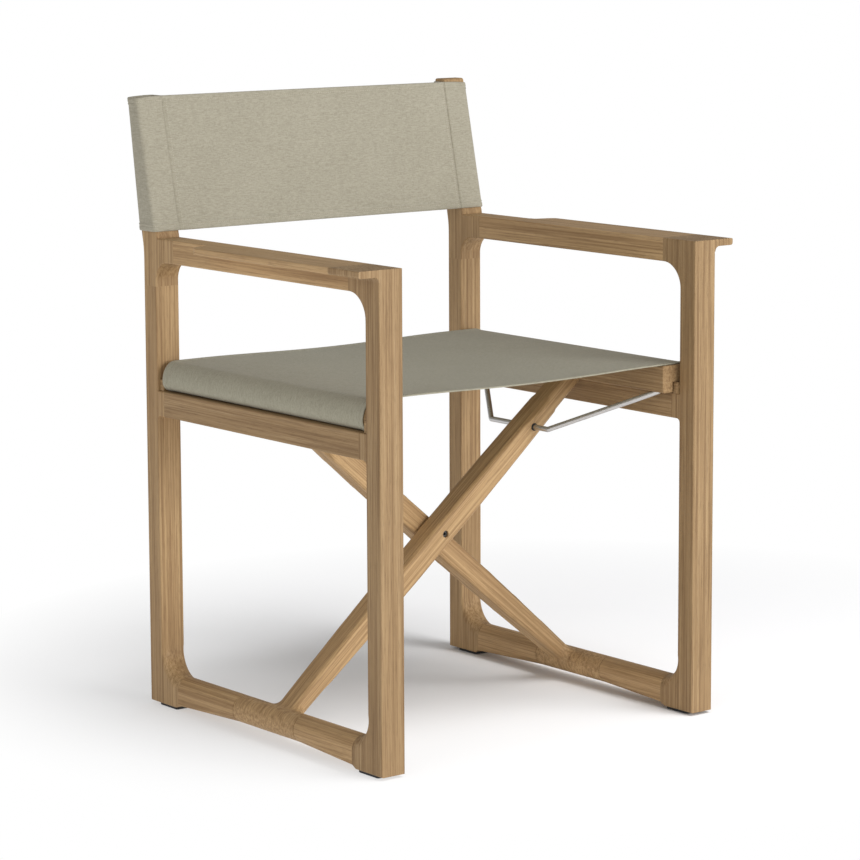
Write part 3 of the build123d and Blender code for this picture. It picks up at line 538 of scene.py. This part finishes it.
def back_span_point(x, share):
    """Middle of the cloth between the posts, bowed back a little and turned in at the seam."""
    z = back_height(x, share)
    across = min(1.0, abs(x) / SEAM_X)
    bow = BACK_BOW * (1 - across ** 2) ** 2
    dip = SEAM_DIP * math.exp(-((SEAM_X - abs(x)) / SEAM_SPREAD) ** 2)
    uneven = ripple(x, z, BACK_RIPPLE) * across * (1 - across ** 2)
    return Vector((x, on_face(POST_FRONT, z) - GAP + bow + dip + uneven, z))


def sleeve_loop(z):
    """Middle of the cloth round the right post at a height, from the seam outwards, as (x, y)."""
    front, rear = on_face(POST_FRONT, z) - GAP, on_face(POST_REAR, z) + SLEEVE_LOOSE[1]
    outside = POST_HIGH[0] + SLEEVE_LOOSE[0]
    places = ((SEAM_X, front), (outside, front), (outside, rear), (SEAM_X, rear))
    corners = [Vector(place) for place in places]
    steps = 6  # points round a corner, and spaces along a side
    points = []
    for k, (corner, radius) in enumerate(zip(corners, SLEEVE_RADII)):
        back = (corners[k - 1] - corner).normalized()
        ahead_line = corners[(k + 1) % 4] - corner
        ahead = ahead_line.normalized()
        for step in range(steps):
            turn = math.radians(90 * step / (steps - 1))
            points.append(corner + (back + ahead) * radius - ahead * radius * math.cos(turn)
                          - back * radius * math.sin(turn))
        straight = ahead_line.length - radius - SLEEVE_RADII[(k + 1) % 4]
        for step in range(1, steps):
            points.append(corner + ahead * (radius + straight * step / steps))
    for point in points:
        if point.x > outside - 0.006:
            point.x += SLEEVE_BULGE * math.sin(math.pi * (point.y - front) / (rear - front))
    return points


def back_cloth(materials):
    """The back sling: a moving half of the span and a sleeve round the post on each side."""
    height = BACK_TOP - BACK_BOTTOM
    rows = stations(height, 0.010)
    shares = [d / height for d in rows]
    groove = rows.index(SEAM_LINE)
    far_groove = len(rows) - 1 - groove
    steps = [SEAM_X * k / HALF_STEPS for k in range(HALF_STEPS)] + [SEAM_X - d for d in SEAM_STEPS]

    def thick(_, j):
        return hem_thickness(min(rows[j], height - rows[j]))

    for side, name in ((1, "right"), (-1, "left")):
        body = f"{name}_frame"
        grid = [[back_span_point(side * x, share) for share in shares] for x in steps]
        bm, skin = shell(grid, thick, side, butted=(0,))
        for row in (groove, far_groove):
            sew(bm, [skin[i, row] for i in range(HALF_STEPS)])
        sew(bm, [skin[HALF_STEPS, j] for j in range(len(rows))])
        span = cloth_piece(f"back_cloth_{name}", bm, materials, body, "back_sling")
        hang(span)
        columns = []
        for share in shares:
            loop = sleeve_loop(back_height(POST_LOW[0] * 1.01, share))
            columns.append([Vector((side * x, y, back_height(x, share))) for x, y in loop])
        grid = [list(line) for line in zip(*columns)]
        bm, skin = shell(grid, thick, side, closed=True)
        for row in (groove, far_groove):
            sew(bm, [skin[i, row] for i in range(len(grid))])
        cloth_piece(f"back_sleeve_{name}", bm, materials, body, "back_sling")


# ---- camera, floor and light ------------------------------------------------------------
CAMERA = Vector((-2.6609, -3.4225, 1.0854))
AZIMUTH, ELEVATION, ROLL = math.radians(-38.0), math.radians(8.43), math.radians(-0.24)
LENS, SENSOR = 136.7, 36.0
CAMERA_SHIFT = (0.0018, -0.0542)
AIM = Vector((0, 0, 0.4))  # the lights point here
AMBIENT = 0.36
# place, size and power of each soft light
LIGHTS = {
    "key": ((1.2, -4.2, 1.25), 2.2, 128),
    "fill": ((-4.2, -1.8, 1.7), 2.5, 36),
    "top": ((0.3, -0.6, 3.2), 2.4, 13),
}
FLOOR_LIGHT = ((0.7, -1.8, 3.5), 2.0, 105)  # lights the floor alone, so that it stays white
FLOOR_SIZE = 24
SHADE_MIDDLE = (0.32, 0.10, 0.0)  # middle of the part of the floor that takes the shadow
SHADE_REACH = (0.35, 0.90)  # distances from there at which it starts and ends fading to white
WHITE = (1.0, 1.0, 1.0, 1)


def place_camera(scene):
    """A long lens, from the front left and a little above the seat."""
    data = bpy.data.cameras.new("camera")
    camera = bpy.data.objects.new("camera", data)
    scene.collection.objects.link(camera)
    back = Vector((math.sin(AZIMUTH) * math.cos(ELEVATION), -math.cos(AZIMUTH) * math.cos(ELEVATION),
                   math.sin(ELEVATION)))
    camera.location = CAMERA
    camera.rotation_euler = back.to_track_quat("Z", "Y").to_euler()
    camera.rotation_euler.rotate_axis("Z", ROLL)
    data.lens = LENS
    data.sensor_width = SENSOR
    data.shift_x, data.shift_y = CAMERA_SHIFT
    scene.camera = camera


def floor_paint():
    """White sweep: it takes the chair's soft shadow nearby and fades to plain white further out."""
    g = Graph("floor_paint")
    g.set(Base_Color=(0.86, 0.86, 0.87, 1), Roughness=0.8)
    white = g.node("ShaderNodeEmission", {"Color": WHITE, "Strength": 1.0})
    reach = g.node("ShaderNodeVectorMath", {0: g.place, 1: SHADE_MIDDLE}, operation="DISTANCE")
    mixed = g.node("ShaderNodeMixShader", {0: g.ramp(reach.outputs["Value"], *SHADE_REACH)})
    g.link(g.bsdf.outputs[0], mixed.inputs[1])
    g.link(white.outputs[0], mixed.inputs[2])
    g.link(mixed.outputs[0], g.output.inputs[0])
    return g.material


def surround(scene):
    """White to the camera, and a dimmer even light on the chair."""
    world = bpy.data.worlds.new("world")
    scene.world = world
    world.use_nodes = True
    tree = world.node_tree
    seen, lit = tree.nodes["Background"], tree.nodes.new("ShaderNodeBackground")
    mixed, path = tree.nodes.new("ShaderNodeMixShader"), tree.nodes.new("ShaderNodeLightPath")
    for background, strength in ((seen, 1.0), (lit, AMBIENT)):
        background.inputs[0].default_value = WHITE
        background.inputs[1].default_value = strength
    tree.links.new(path.outputs["Is Camera Ray"], mixed.inputs[0])
    tree.links.new(lit.outputs[0], mixed.inputs[1])
    tree.links.new(seen.outputs[0], mixed.inputs[2])
    tree.links.new(mixed.outputs[0], tree.nodes["World Output"].inputs[0])


def add_light(name, place, size, power):
    """A soft square light aimed at the middle of the chair."""
    data = bpy.data.lights.new(name, "AREA")
    data.size = size
    data.energy = power
    light = bpy.data.objects.new(name, data)
    light.location = place
    light.rotation_euler = (Vector(place) - AIM).to_track_quat("Z", "Y").to_euler()
    bpy.context.scene.collection.objects.link(light)
    return light


def studio():
    """Camera, plain pale floor and soft light."""
    scene = bpy.context.scene
    scene.view_settings.view_transform = "Standard"
    place_camera(scene)
    bpy.ops.mesh.primitive_plane_add(size=FLOOR_SIZE, location=(0, 0, 0))
    floor = bpy.context.object
    floor.name = "floor"
    paint(floor, floor_paint())
    surround(scene)
    for name, (place, size, power) in LIGHTS.items():
        add_light(name, place, size, power)
    floor_only = bpy.data.collections.new("floor_only")
    floor_only.objects.link(floor)
    add_light("floor_light", *FLOOR_LIGHT).light_linking.receiver_collection = floor_only


# x and z share one yarn on the seat, where the cloth turns down over the bars; x and y do on the back,
# where it turns round the posts
SEAT_YARNS = ((1, 0, 1), (0, 1, 0))
BACK_YARNS = ((1, 1, 0), (0, 0, 1))

paint_cad()
seat_cloth((cloth("seat_weave", SEAT_YARNS, SEAT_CLOTH), thread("seat_thread", (0.330, 0.310, 0.240, 1))))
back_cloth((cloth("back_weave", BACK_YARNS, BACK_CLOTH), thread("back_thread", (0.560, 0.520, 0.410, 1))))
studio()
